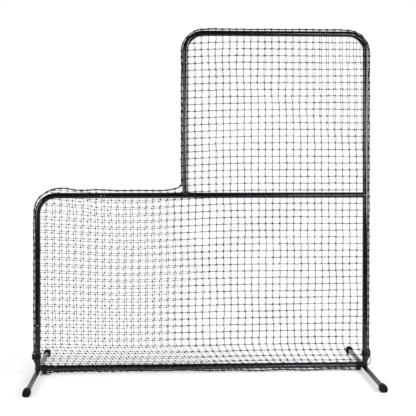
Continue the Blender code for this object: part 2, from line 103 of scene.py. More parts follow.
def black_paint_material():
    """Black paint on steel: a faint orange peel, dusty patches, fine scuffs and bare tube ends.

    The peel is noise about two millimetres across and the dust is noise about a hand wide. The wear
    is the mesh's attribute, 1 at a tube's cut end, broken up by noise finer than a millimetre.
    """
    material, shader, add, wire = node_material("black_paint")
    place = add("TexCoord", {})["Object"]
    patches = noise(add, place, 9.0, 5.0)
    peel = noise(add, place, 420.0, 1.0)
    scuffs = noise(add, place, 1500.0, 3.0)
    worn = add("Attribute", {}, attribute_name="cut_end")["Fac"]
    broken = add("Math", {0: scuffs, 1: worn}, operation="MULTIPLY")[0]
    bare = add("MapRange", {"Value": broken, "From Min": 0.30, "From Max": 0.42})[0]
    dust = add("MapRange", {"Value": patches, "From Min": 0.45, "From Max": 0.75})[0]
    coat = add("Mix", {0: dust, 6: PAINT_BLACK, 7: PAINT_DUSTY}, data_type="RGBA")[2]
    colour = add("Mix", {0: bare, 6: coat, 7: BARE_STEEL}, data_type="RGBA")[2]
    height = add("Math", {0: peel, 1: scuffs}, operation="ADD")[0]
    wire("Base Color", colour)
    wire("Metallic", bare)
    wire("Roughness", add("MapRange", {"Value": patches, "To Min": 0.10, "To Max": 0.19})[0])
    wire("Normal", add("Bump", {"Height": height, "Strength": 0.12, "Distance": 0.00004})[0])
    shader.inputs["Specular IOR Level"].default_value = 0.60
    return material


def new_object(name, data):
    """A new object in the scene."""
    piece = bpy.data.objects.new(name, data)
    bpy.context.scene.collection.objects.link(piece)
    return piece


def skin(name, grid, lengths, material, closed=False, cut_end=None):
    """A mesh of grid[item, ring, side]: quads from ring to ring, with the sides joined round.

    Unless closed joins the last ring to the first, each item's two end rings are filled. The UV map
    "run" holds lengths[item, ring], the way along in metres, and the share of the way round.
    """
    items, rings, sides, _ = grid.shape
    numbers = np.arange(items * rings * sides).reshape(items, rings, sides)
    here = numbers if closed else numbers[:, :-1]
    ahead = np.roll(numbers, -1, 1) if closed else numbers[:, 1:]
    faces = np.stack([here, np.roll(here, -1, 2), np.roll(ahead, -1, 2), ahead], -1)
    lengths = np.concatenate([lengths, 2 * lengths[:, -1:] - lengths[:, -2:-1]], 1)
    spans = here.shape[1]
    u = np.stack([lengths[:, step : step + spans, None] + np.zeros(sides) for step in (0, 0, 1, 1)], -1)
    around = np.arange(sides)[:, None] + np.array([0, 1, 1, 0])
    v = np.broadcast_to(around / sides, u.shape)
    u, v, faces = u.ravel(), v.ravel(), faces.reshape(-1, 4).tolist()
    if not closed:
        faces += numbers[:, 0, ::-1].tolist() + numbers[:, -1].tolist()
        u = np.concatenate([u, np.repeat(lengths[:, [0, -2]].T.ravel(), sides)])
        v = np.concatenate([v, np.tile(np.arange(sides) / sides, 2 * items)])
    mesh = bpy.data.meshes.new(name)
    mesh.from_pydata(grid.reshape(-1, 3), [], faces)
    mesh.uv_layers.new(name="run").data.foreach_set("uv", np.stack([u, v], -1).ravel())
    mesh.polygons.foreach_set("use_smooth", np.ones(len(faces), dtype=bool))
    if cut_end is not None:
        mesh.attributes.new("cut_end", "FLOAT", "POINT").data.foreach_set("value", cut_end)
    mesh.materials.append(material)
    mesh.update()
    return new_object(name, mesh)


def unit(vectors):
    """The same vectors, each made one long."""
    return vectors / np.linalg.norm(vectors, axis=-1, keepdims=True)


def lengths_along(centre):
    """The way gone at each step of a line, or of each of several."""
    steps = np.linalg.norm(np.diff(centre, axis=-2), axis=-1)
    return np.concatenate([0 * steps[..., :1], np.cumsum(steps, axis=-1)], -1)


def full_turn(steps):
    """Angles spaced evenly round a full turn, as a column."""
    return np.arange(steps)[:, None] * 2 * math.pi / steps


def saddle(rims, way, others):
    """How far along way each rim point goes to sit on the other tubes that pass the end.

    On a round tube of radius R whose axis is q away from the point, seen along way, that is the root
    of R R - q q. Each of others is its axis' direction, its radius, and its axis' offset.
    """
    heights = []
    for axis, radius, offset in others:
        q = (rims - offset) @ np.cross(way, axis)
        heights.append(np.sqrt(np.maximum(radius**2 - q**2, 0)) + offset @ way)
    return np.max(heights, axis=0)


def steel_tube(name, corners, bend_radius=0, outer=LEG_RADIUS, across=ACROSS, ends=SQUARE_ENDS, coped=()):
    """A hollow tube carried along straight runs joined by quarter circles, all in one plane.

    A ring is centre + radius (cos a across + sin a (way x across)). A quarter circle's centres are
    heart - bend (leave cos t - way sin t). The bore is the same rings coming back, a wall smaller. A
    coped start's rings are moved along the tube by the saddle of what it sits on.
    """
    start, end = ends
    corners = np.array(corners, dtype=float)
    legs = unit(np.diff(corners, axis=0))
    turn = np.linspace(0, math.pi / 2, BEND_RINGS)[:, None]
    rings = [(corners[0] - legs[0] * past, legs[0], outer + less, worn) for past, less, worn in start]
    for corner, way, leave in zip(corners[1:], legs, legs[1:]):
        heart = corner + (leave - way) * bend_radius
        centres = heart - (leave * np.cos(turn) - way * np.sin(turn)) * bend_radius
        headings = way * np.cos(turn) + leave * np.sin(turn)
        rings += [(centre, heading, outer, 0) for centre, heading in zip(centres, headings)]
    stop, way = corners[-1], legs[-1]
    rings += [(stop + way * past, way, outer + less, worn) for past, less, worn in end[::-1]]
    centre, way, radius, worn = (np.array(column, dtype=float) for column in zip(*rings))
    gone = lengths_along(centre)
    centre, way = np.concatenate([centre, centre[::-1]]), np.concatenate([way, way[::-1]])
    radius = np.concatenate([radius, np.minimum(radius, np.roll(radius, -1))[::-1] - WALL])
    angle = full_turn(TUBE_SIDES)
    spokes = np.cos(angle) * across + np.sin(angle) * np.cross(way, across)[:, None, :]
    rims = radius[:, None, None] * spokes
    grid = centre[:, None, :] + rims
    if coped:
        for ring in range(-len(start), len(start)):
            grid[ring] += saddle(rims[ring], legs[0], coped)[:, None] * legs[0]
    lengths = np.concatenate([gone, 2 * gone[-1] - gone[::-1]])
    worn = np.repeat(np.concatenate([worn, worn[::-1] * BORE_WEAR]), TUBE_SIDES)
    return skin(name, grid[None], lengths[None], black_paint, closed=True, cut_end=worn)


black_paint = black_paint_material()
for side, x, _ in SIDES:
    leg_ends = [(x, -LEG_REACH, LEG_Z), (x, LEG_REACH, LEG_Z)]
    leg = steel_tube(f"{side}_leg_tube", leg_ends, across=RIGHT)
    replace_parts(leg, f"{side}_base_leg")
    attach(leg, "screen")

# The frame's tubes. Each piece of round steel tube is cut to length, and the long ones are bent at
# the corners. A swaged end is squeezed thinner so that it slides up inside the next tube.
TUBE_RADIUS = 0.0175
SPIGOT_RADIUS = 0.0155
SPIGOT = 0.080
BEND_RADIUS = 0.115
MID_X = -0.1125
RAIL_Z = 0.042
CROSSBAR_Z = 1.126
TOP_Z = 2.150
LOWER_RING_Z = 0.721
HOOP_RING_Z = 1.720
POST_RING_Z = 0.294
STUB_RING = 0.110
SHOULDER_RING_X = -0.6225
SADDLE_RISE = 0.006  # the leg's centreline up to the lowest edge of the post
SQUEEZE = SPIGOT_RADIUS - TUBE_RADIUS
TUBE_CREASE = math.radians(32)
SWAGED_END = (
    (SPIGOT, SQUEEZE - RIM_ROUND, 1), (SPIGOT - RIM_ROUND, SQUEEZE, 0.9), (SPIGOT / 2, SQUEEZE, 0.6),
    (-0.0005, SQUEEZE, 0.75), (-0.0035, 0, 0.7), (-0.0055, 0, 0.2), (-0.012, 0, 0),
)


def at(x, z):
    """A point in the screen's plane."""
    return np.array((x, 0.0, z))


def frame_tube(name, node, corners, ends=SQUARE_ENDS, coped=()):
    """One of the frame's tubes, in place of its solid."""
    piece = steel_tube(name, corners, BEND_RADIUS, TUBE_RADIUS, ends=ends, coped=coped)
    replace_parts(piece, node)
    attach(piece, "screen")
    return piece


# What a coped end sits on: the other tube's way, its radius, and its axis' offset from the end
ON_TUBE_ALONG_Z = (UP, TUBE_RADIUS, np.zeros(3))
ON_TUBE_ALONG_X = (RIGHT, TUBE_RADIUS, np.zeros(3))
UNDER_POST = [(ACROSS, LEG_RADIUS, np.zeros(3)), (ACROSS, 0, at(0, SADDLE_RISE))]
UNDER_STUB = [ON_TUBE_ALONG_Z, (ACROSS, LEG_RADIUS, at(0, LEG_Z - RAIL_Z))]
SQUARE_SWAGED = (SQUARE_END, SWAGED_END)
COPED_END = ((0, 0, 0), (-0.008, 0, 0))
COPED_SWAGED = (COPED_END, SWAGED_END)
tubes = {
    "hoop": frame_tube(
        "hoop_tube", "top_hoop",
        [at(MID_X, HOOP_RING_Z), at(MID_X, TOP_Z), at(SIDE_X, TOP_Z), at(SIDE_X, HOOP_RING_Z)],
    ),
    "shoulder": frame_tube(
        "shoulder_tube", "shoulder_elbow",
        [at(-SIDE_X, LOWER_RING_Z), at(-SIDE_X, CROSSBAR_Z), at(SHOULDER_RING_X, CROSSBAR_Z)],
    ),
    "crossbar": frame_tube(
        "crossbar_tube", "crossbar",
        [at(SIDE_X, CROSSBAR_Z), at(SHOULDER_RING_X, CROSSBAR_Z)],
        COPED_SWAGED, [ON_TUBE_ALONG_Z],
    ),
    "mid": frame_tube(
        "mid_upright_tube", "mid_upright",
        [at(MID_X, CROSSBAR_Z), at(MID_X, HOOP_RING_Z)],
        COPED_SWAGED, [ON_TUBE_ALONG_X],
    ),
    "right": frame_tube(
        "right_upright_tube", "right_upright",
        [at(SIDE_X, LOWER_RING_Z), at(SIDE_X, HOOP_RING_Z)],
        SQUARE_SWAGED,
    ),
}
for side, x, inward in SIDES:
    tubes[f"{side}_lower"] = frame_tube(
        f"lower_{side}_upright_tube", f"lower_{side}_upright",
        [at(x, POST_RING_Z), at(x, LOWER_RING_Z)],
        SQUARE_SWAGED,
    )
    tubes[f"{side}_post"] = frame_tube(
        f"{side}_post_tube", f"{side}_base_post",
        [at(x, LEG_Z), at(x, POST_RING_Z)],
        COPED_SWAGED, UNDER_POST,
    )
    tubes[f"{side}_stub"] = frame_tube(
        f"{side}_stub_tube", f"{side}_rail_stub",
        [at(x, RAIL_Z), at(x, RAIL_Z) + inward * STUB_RING],
        COPED_SWAGED, UNDER_STUB,
    )
    tubes[f"{side}_rail"] = frame_tube(
        f"bottom_rail_{side}_tube", f"bottom_rail_{side}",
        [at(x, RAIL_Z) + inward * STUB_RING, at(0, RAIL_Z)],
        SQUARE_SWAGED if side == "left" else SQUARE_ENDS,
    )

# The welds. Where one tube ends on another, a fillet of weld metal runs right round the joint, laid
# in short overlapping steps and painted over with the tubes.
BEAD_RADIUS = 0.0021
BEAD_STEPS = 288
BEAD_SIDES = 10
RIPPLE = 0.16
RIPPLE_LENGTH = 0.0026


def weld(name, foot, way, others):
    """A closed bead on the line where a tube from foot along way meets the others.

    Its centre is foot + tube radius (cos a side + sin a (way x side)) + saddle way, and its radius
    swells and shrinks as a sine of the way round, one swell for each step of the weld.
    """
    angle = full_turn(BEAD_STEPS)
    side = np.cross(way, others[0][0])
    spokes = np.cos(angle) * side + np.sin(angle) * np.cross(way, side)
    rims = TUBE_RADIUS * spokes
    centre = foot + rims + saddle(rims, way, others)[:, None] * way
    heading = unit(np.roll(centre, -1, 0) - np.roll(centre, 1, 0))
    swells = round(np.linalg.norm(np.diff(centre, axis=0), axis=1).sum() / RIPPLE_LENGTH)
    radius = BEAD_RADIUS * (1 + RIPPLE * np.sin(swells * angle[:, :1, None]))
    round_bead = full_turn(BEAD_SIDES)
    out = unit(np.cross(np.cross(heading, spokes), heading))
    up = np.cross(heading, out)
    ring = np.cos(round_bead) * out[:, None, :] + np.sin(round_bead) * up[:, None, :]
    gone = np.linspace(0, 2 * math.pi * TUBE_RADIUS, BEAD_STEPS)
    worn = np.zeros(BEAD_STEPS * BEAD_SIDES)
    grid = centre[:, None, :] + radius * ring
    bead = skin(name, grid[None], gone[None], black_paint, closed=True, cut_end=worn)
    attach(bead, "screen")


weld("weld_crossbar_end", at(SIDE_X, CROSSBAR_Z), -RIGHT, [ON_TUBE_ALONG_Z])
weld("weld_mid_upright_foot", at(MID_X, CROSSBAR_Z), UP, [ON_TUBE_ALONG_X])
for side, x, inward in SIDES:
    weld(f"weld_{side}_post_foot", at(x, LEG_Z), UP, UNDER_POST)
    weld(f"weld_{side}_stub_end", at(x, RAIL_Z), inward, UNDER_STUB)

# The snap joints. A spring strip folded inside the inner tube pushes a plated button out through a
# hole in both tubes, which keeps them from sliding apart.
BUTTON_INSET = 0.018
HOLE_RADIUS = 0.0050
HOLE_SIDES = 32
BUTTON_RADIUS = 0.004
BUTTON_TOP = 0.020
BUTTON_DOME = 0.0028
DOME_RINGS = 10
DOME_TIP = 0.04  # the last ring's angle from the top
CREASE = math.radians(40)
ARM_HEIGHT = 0.0122
ARM_REACH = (-0.006, 0.045)
ARM_HALF_WIDTH = 0.004
ARM_HALF_GAUGE = 0.0005
PLATE_DULL = 0.7  # how bright the plate's dull places are, of its colour
# Each joint's name, the outer tube's end, the way on into the outer tube, the way its button
# faces, and its inner and outer tubes
snap_joints = (
    ("hoop_left", at(MID_X, HOOP_RING_Z), UP, RIGHT, "mid", "hoop"),
    ("hoop_right", at(SIDE_X, HOOP_RING_Z), UP, -RIGHT, "right", "hoop"),
    ("shoulder", at(SHOULDER_RING_X, CROSSBAR_Z), -RIGHT, -ACROSS, "crossbar", "shoulder"),
    ("left_upright", at(-SIDE_X, LOWER_RING_Z), UP, ACROSS, "left_lower", "shoulder"),
    ("right_upright", at(SIDE_X, LOWER_RING_Z), UP, ACROSS, "right_lower", "right"),
    ("left_post", at(-SIDE_X, POST_RING_Z), UP, -ACROSS, "left_post", "left_lower"),
    ("right_post", at(SIDE_X, POST_RING_Z), UP, ACROSS, "right_post", "right_lower"),
    ("left_rail", at(STUB_RING - SIDE_X, RAIL_Z), RIGHT, ACROSS, "left_stub", "left_rail"),
    ("right_rail", at(SIDE_X - STUB_RING, RAIL_Z), -RIGHT, ACROSS, "right_stub", "right_rail"),
    ("rail_middle", at(0, RAIL_Z), RIGHT, ACROSS, "left_rail", "right_rail"),
)


def plated_material(name, colour, low, high, grain):
    """Bare or plated metal: its roughness follows noise of the given grain, with a fine bump."""
    material, shader, add, wire = node_material(name)
    place = add("TexCoord", {})["Object"]
    cloud = noise(add, place, grain, 4.0)
    dull = tuple(PLATE_DULL * value for value in colour) + (1,)
    wire("Base Color", add("Mix", {0: cloud, 6: dull, 7: colour + (1,)}, data_type="RGBA")[2])
    wire("Roughness", add("MapRange", {"Value": cloud, "To Min": low, "To Max": high})[0])
    wire("Normal", add("Bump", {"Height": cloud, "Strength": 0.2, "Distance": 0.0001})[0])
    shader.inputs["Metallic"].default_value = 1.0
    return material


def drill(pieces, place, facing):
    """Cuts a round hole out through one wall of each piece, the way facing points.

    The bit runs from half a tube's radius off place to twice it. Its rim is radius (cos a side +
    sin a (facing x side)), where side is square to facing, which lies along an axis.
    """
    angle = full_turn(HOLE_SIDES)
    side = np.cross(facing, facing[[2, 0, 1]])
    rim = HOLE_RADIUS * (np.cos(angle) * side + np.sin(angle) * np.cross(facing, side))
    grid = place + rim + np.array([[[TUBE_RADIUS / 2]], [[TUBE_RADIUS * 2]]]) * facing
    bit = skin("drill", grid[None], np.array([[0.0, 1.0]]), black_paint)
    for piece in pieces:
        cut = piece.modifiers.new("hole", "BOOLEAN")
        cut.operation, cut.solver, cut.object = "DIFFERENCE", "EXACT", bit
        graph = bpy.context.evaluated_depsgraph_get()
        drilled = bpy.data.meshes.new_from_object(piece.evaluated_get(graph), depsgraph=graph)
        piece.modifiers.clear()
        piece.data = drilled
    bpy.data.objects.remove(bit)


def snap_button(joint, place, into, facing):
    """A domed pin turned about facing, on the flat strip that springs it out.

    The dome's ring at t has the radius r sin t and stands dome (1 - cos t) below the top.
    """
    side = np.cross(facing, into)
    t = np.linspace(math.pi / 2, DOME_TIP, DOME_RINGS)
    radius = np.concatenate([[BUTTON_RADIUS], BUTTON_RADIUS * np.sin(t)])[:, None, None]
    height = np.concatenate([[ARM_HEIGHT], BUTTON_TOP - BUTTON_DOME * (1 - np.cos(t))])[:, None, None]
    angle = full_turn(HOLE_SIDES)
    grid = place + height * facing + radius * (np.cos(angle) * into + np.sin(angle) * side)
    pin = skin(f"{joint}_pin", grid[None], height[:, 0, 0][None], zinc_plate)
    pin.data.set_sharp_from_angle(angle=CREASE)
    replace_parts(pin, f"{joint}_button")
    wide, high = np.array([(-1, -1), (1, -1), (1, 1), (-1, 1)]).T[:, :, None]
    rim = wide * ARM_HALF_WIDTH * side + high * ARM_HALF_GAUGE * facing
    ends = np.array(ARM_REACH)[:, None, None] * into
    grid = place + ARM_HEIGHT * facing + ends + rim
    arm = skin(f"{joint}_arm", grid[None], np.array([ARM_REACH]), spring_strip)
    arm.data.set_sharp_from_angle(angle=CREASE)
    for piece, slot in ((pin, "zinc"), (arm, "spring_steel")):
        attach(piece, f"{joint}_snap")


zinc_plate = plated_material("zinc_plate", (0.74, 0.75, 0.78), 0.22, 0.4, 600.0)
spring_strip = plated_material("spring_strip", (0.42, 0.43, 0.45), 0.3, 0.5, 300.0)
for joint, ring, into, facing, inner, outer in snap_joints:
    drill([tubes[inner], tubes[outer]], ring + into * BUTTON_INSET, facing)
    snap_button(joint, ring + into * BUTTON_INSET, into, facing)
    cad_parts[f"{joint}_spring"].data.materials[0] = spring_strip
for piece in tubes.values():
    piece.data.set_sharp_from_angle(angle=TUBE_CREASE)

# The feet. A moulded black rubber cap with a flat underside is pushed over each end of the legs. It
# has a thicker lip at its mouth and a shallow round dish in its closed end.
CAP_RADIUS = 0.0235
CAP_SPREAD = 0.0040
CAP_BORE = 0.0164
CAP_SIDES = 64
CAP_CREASE = math.radians(50)
DISH_TIP = 0.0004
# Shares of the radius below the middle: where the outline begins to spread and over how much it
# does, and where the lip has faded out into the flat foot and over how much it fades
SPREAD_FROM = 0.1
SPREAD_OVER = 0.6
FADED_AT = 0.85
FADE_OVER = 0.2
FACE_Y = 0.52
FACE_DEPTH = 0.003  # how deep the closed end's rounding reaches
# Rings from the bore's end to the mouth, then from the mouth to the dish: each one's depth from the
# closed end, with its radius in the bore and how far it lies inside the outline on the skin
CAP_BORE_RINGS = ((0.0066, 0.0002), (0.0066, CAP_BORE), (0.0443, CAP_BORE), (0.0450, CAP_BORE + 0.0007))
CAP_SKIN_RINGS = (
    (0.0450, 0.0010), (0.0447, 0.0003), (0.0440, 0), (0.0410, 0), (0.0404, 0.0002), (0.0400, 0.0008),
    (0.0300, 0.0008), (0.0120, 0.0008), (0.0028, 0.0008), (0.0015, 0.0011), (0.0006, 0.0019),
    (0.0001, 0.0031), (0, 0.0045), (0, 0.0088), (0.0003, 0.0093), (0.0011, 0.0096), (0.0013, 0.0104),
    (0.0013, 0.0190), (0.0013, 0.0230),
)


def rubber_material():
    """Moulded rubber: matt black, paler where it is scuffed near the floor, with a fine grain."""
    material, shader, add, wire = node_material("moulded_rubber")
    place = add("TexCoord", {})["Object"]
    grain = noise(add, place, 1800.0, 3.0)
    marks = noise(add, place, 90.0, 6.0)
    height = add("SeparateXYZ", {"Vector": place})[2]
    low = add("MapRange", {"Value": height, "From Min": 0.012, "From Max": 0.0})[0]
    scuffed = add("Math", {0: marks, 1: low}, operation="MULTIPLY")[0]
    scuff = add("MapRange", {"Value": scuffed, "From Min": 0.3, "From Max": 0.7})[0]
    black, grey = (0.0042, 0.0045, 0.0055, 1), (0.035, 0.034, 0.032, 1)
    wire("Base Color", add("Mix", {0: scuff, 6: black, 7: grey}, data_type="RGBA")[2])
    wire("Roughness", add("MapRange", {"Value": marks, "To Min": 0.42, "To Max": 0.7})[0])
    wire("Normal", add("Bump", {"Height": grain, "Strength": 0.25, "Distance": 0.0001})[0])
    shader.inputs["Specular IOR Level"].default_value = 0.12
    return material


def moulded_cap(name, x, way):
    """A rubber cap at the leg's end on the side of way, closed at +-FACE_Y.

    Its outline is a circle that spreads below by a smooth step, cut off flat at the floor, where its
    radius is the leg's height / -sin a. Rings carry it from the bore round the mouth to the dish.
    Away from the closed end, what a ring lies inside the outline fades out towards the floor.
    """
    angle = full_turn(CAP_SIDES)[:, 0]
    rise = np.sin(angle)
    low = np.clip((-rise - SPREAD_FROM) / SPREAD_OVER, 0, 1)
    outline = CAP_RADIUS + CAP_SPREAD * low**2 * (3 - 2 * low)
    outline = np.minimum(outline, LEG_Z / np.maximum(-rise, 0.01))
    above = np.clip((rise + FADED_AT) / FADE_OVER, 0, 1)
    bore, shell = np.array(CAP_BORE_RINGS), np.array(CAP_SKIN_RINGS)
    inset = np.where(shell[:, 0] < FACE_DEPTH, 1, above[:, None]).T * shell[:, 1:]
    shell_radius = np.maximum(outline - inset, DISH_TIP)
    radius = np.concatenate([np.repeat(bore[:, 1:], CAP_SIDES, 1), shell_radius])
    y = way * (FACE_Y - np.concatenate([bore[:, 0], shell[:, 0]]))
    aside, ahead = x + radius * np.cos(angle), y[:, None] + 0 * radius
    grid = np.stack([aside, ahead, LEG_Z + radius * rise], -1)
    cap = skin(name, grid[None], y[None], moulded_rubber)
    cap.data.set_sharp_from_angle(angle=CAP_CREASE)
    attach(cap, "screen")
    return cap


moulded_rubber = rubber_material()
for side, x, _ in SIDES:
    for end, way in (("front", -1), ("rear", 1)):
        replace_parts(moulded_cap(f"{end}_{side}_cap", x, way), f"{end}_{side}_foot")

# The net. Black twine is knotted into square meshes, a little under 45 mm from knot to knot, and
# sewn up as a case of two layers that is pulled down over the frame, front and back. The strands
# lie over the tubes to the border rope, and their knots are hitched on it.
TWINE_RADIUS = 0.00102
TWINE_SIDES = 5
KNOT_LOOP = 0.0039
KNOT_TWINE = 0.0019
KNOT_PITCH = 0.0022
HITCH_PITCH = 0.0036
KNOT_STEPS = 11
KNOT_SIDES = 4
KNOT_LEAN_SPREAD = 0.3
KNOT_SIZE_SPREAD = 0.08
NET_PLANE = 0.0226
ROPE_RADIUS = 0.0038
NET_RIM = ROPE_RADIUS + TWINE_RADIUS
ROPE_SNUG = TUBE_RADIUS + ROPE_RADIUS + 0.0008
ROPE_REACH = 0.029
# Where the rope is lifted: the place along, the tube's height, how high and how wide
ROPE_LIFTS = (
    (-0.887, CROSSBAR_Z, 0.015, 0.075),
    (-0.67, CROSSBAR_Z, 0.005, 0.08),
    (0.04, TOP_Z, 0.004, 0.05),
)
LIFT_BELOW = 0.05
LIFT_ABOVE = 0.08
WANDER = 0.0006
WANDER_LENGTHS = (0.23, 0.089)
TOP_SLACK = 0.0035
SHOULDER_SLACK = 0.008
NOTCH_RISE = 0.030
NOTCH_RUN = 0.136
NOTCH_BEND = 0.030
NOTCH_POWER = 1.6
CORNER_CUT = 0.028
FOOT_SLACK = 0.0049
FOOT_WAVE = 0.0009
FOOT_WAVE_MORE = 0.0016
CLEAR_OF_TUBE = TUBE_RADIUS + TWINE_RADIUS + 0.0002
COLUMNS = np.arange(-6, 47)
ROWS = np.arange(-5, 60)
MESH_WIDE = 0.0447
MESH_HIGH = 0.0425
FIRST_KNOT = (-0.861, 2.0107)
ROW_SHIFT = 0.0002
# The sag, in metres: at the floor, and how much more for each metre up
SAG_X = -0.48
SAG_WIDTH = 0.42
SAG_LOW = 0.006
SAG_MORE = 0.031
# The back layer: how far aside it hangs, how much wider and taller it is, and how much narrower
# at the top. Its loose part, left of LOOSE_X, hangs further aside and higher
BACK_ASIDE = 0.0055
BACK_WIDER = 0.004
BACK_TALLER = 0.0065
BACK_NARROWER = 0.018
LOOSE_X = -0.17
LOOSE_FADE = 0.07
LOOSE_ASIDE = 0.008
LOOSE_UP = 0.0135
WAVES = ((0.31, 0.6), (0.47, 0.9), (0.73, 1.2), (1.1, 1.4))  # lengths in metres, heights in mm
# How far knots stray aside and up, and how much more where the net is bunched below the shoulder
STRAY_ASIDE = 0.0012
STRAY_UP = 0.0006
BUNCHED = 0.003
BUNCH_Z = 1.06
BUNCH_HIGH = 0.06
FOOT_Z = 0.185
CLOSE_UP = 0.32
LEAN = 0.45
LEAN_MORE = 0.35
LEAN_LENGTH = 0.35
STRAND_STEPS = 4
ROW_BOW = (0, -0.0010)
COLUMN_BOW = (0.0018, 0)
BOW_SPREAD = 0.7
CLIP_STEPS = 24
LAST_KNOT = 0.006


def twine_material(name, twists_per_metre, colour, faded_colour):
    """Twisted nylon: bands that wind round the run, with loose fibres and faded places.

    The bands are the sine of 6 pi (twists_per_metre run + share of the way round), so that they wind
    as the three strands of a twisted cord do. The fading is noise in the object's own coordinates.
    """
    material, shader, add, wire = node_material(name)
    run = add("UVMap", {}, uv_map="run")[0]
    place = add("TexCoord", {})["Object"]
    split = add("SeparateXYZ", {"Vector": run})
    wound = add("Math", {0: split[0], 1: twists_per_metre, 2: split[1]}, operation="MULTIPLY_ADD")[0]
    angle = add("Math", {0: wound, 1: 6 * math.pi}, operation="MULTIPLY")[0]
    band = add("Math", {0: angle}, operation="SINE")[0]
    fibre = noise(add, place, 2500.0, 2.0)
    fade = noise(add, place, 14.0, 4.0)
    height = add("Math", {0: fibre, 1: 1.5, 2: band}, operation="MULTIPLY_ADD")[0]
    faded = add("MapRange", {"Value": fade, "From Min": 0.4, "From Max": 0.8})[0]
    wire("Base Color", add("Mix", {0: faded, 6: colour, 7: faded_colour}, data_type="RGBA")[2])
    wire("Roughness", add("MapRange", {"Value": fibre, "To Min": 0.5, "To Max": 0.8})[0])
    wire("Normal", add("Bump", {"Height": height, "Strength": 0.35, "Distance": 0.0002})[0])
    shader.inputs["Specular IOR Level"].default_value = 0.3
    return material


def beyond_boxes(x, z):
    """How far a point of the screen's plane lies outside the two boxes that make the L's outline.

    The tubes' centrelines are the boxes' sides: a wide low one, and a tall one on the right. It is
    the distance to each box with its rounded corners, and is negative inside.
    """

    def to_box(left, top):
        middle_x, middle_z = (left + SIDE_X) / 2, (RAIL_Z + top) / 2
        square = (z < middle_z) | ((top < TOP_Z) & (x > middle_x))
        bend = np.where(square, 0, BEND_RADIUS)
        past_x = np.abs(x - middle_x) - (SIDE_X - left) / 2 + bend
        past_z = np.abs(z - middle_z) - (top - RAIL_Z) / 2 + bend
        outside = np.hypot(np.maximum(past_x, 0), np.maximum(past_z, 0))
        return outside + np.minimum(np.maximum(past_x, past_z), 0) - bend

    return to_box(-SIDE_X, CROSSBAR_Z), to_box(MID_X, TOP_Z)


def ramp(value, start, end):
    """A smooth step t t (3 - 2t), with t going from 0 at start to 1 at end."""
    t = np.clip((value - start) / (end - start), 0, 1)
    return t * t * (3 - 2 * t)


def foot_reach(x):
    """How far under the rail's centreline the rope runs, in waves that are slacker on the right.

    It is snug + slack + wave sin (20 x + 0.8), where slack and wave grow by a smooth step.
    """
    loose = ramp(x, -0.15, 0.2)
    wave = FOOT_WAVE + FOOT_WAVE_MORE * loose
    return ROPE_SNUG + 0.0008 + FOOT_SLACK * loose + wave * np.sin(20 * x + 0.8)


def past_rope(x, z):
    """How far a point of the screen's plane lies past the border rope. It is negative inside.

    The rope lies snug on the uprights and bends, a little slack along the top and more along the
    shoulder, with bell-shaped lifts, and it wanders in small sines between its ties. It climbs into
    the notch's corner as a power of the way there. In the lower corners it cuts straight across.
    """
    reach = ROPE_SNUG
    for lift_x, tube_z, rise, width in ROPE_LIFTS:
        low, high = tube_z - LIFT_BELOW, tube_z + LIFT_ABOVE
        near = (z > low) * (z < high) * ramp(z, low, tube_z)
        reach = reach + rise * near * np.exp(-(((x - lift_x) / width) ** 2))
    long, short = WANDER_LENGTHS
    wander = np.sin(2 * math.pi * (x + z) / long) + 0.8 * np.sin(2 * math.pi * (x - z) / short) + 1.8
    reach = reach + WANDER * wander * (z > 0.2)
    reach = np.where(z < RAIL_Z, foot_reach(x), reach)
    top = TOP_SLACK * ramp(z, TOP_Z - 0.02, TOP_Z) * ramp(x, 0, 0.1) * ramp(-x, -0.95, -0.85)
    climb = NOTCH_RISE * np.clip(1 + (x - MID_X) / NOTCH_RUN, 0, 1) ** NOTCH_POWER
    shoulder = SHOULDER_SLACK * ramp(z, CROSSBAR_Z - 0.09, CROSSBAR_Z) + climb * (z > CROSSBAR_Z)
    shoulder = shoulder * (x < MID_X)
    past_wide, past_tall = (beyond - reach for beyond in beyond_boxes(x, z))
    past_wide, past_tall = past_wide - shoulder, past_tall - top
    in_notch = (x < MID_X) & (z > CROSSBAR_Z)
    near = np.maximum(NOTCH_BEND - np.abs(past_wide - past_tall), 0) * in_notch
    past = np.minimum(past_wide, past_tall) - near**2 / NOTCH_BEND / 4
    across_corner = (np.abs(x) - SIDE_X + RAIL_Z - z + CORNER_CUT) / math.sqrt(2)
    return np.maximum(past, across_corner)


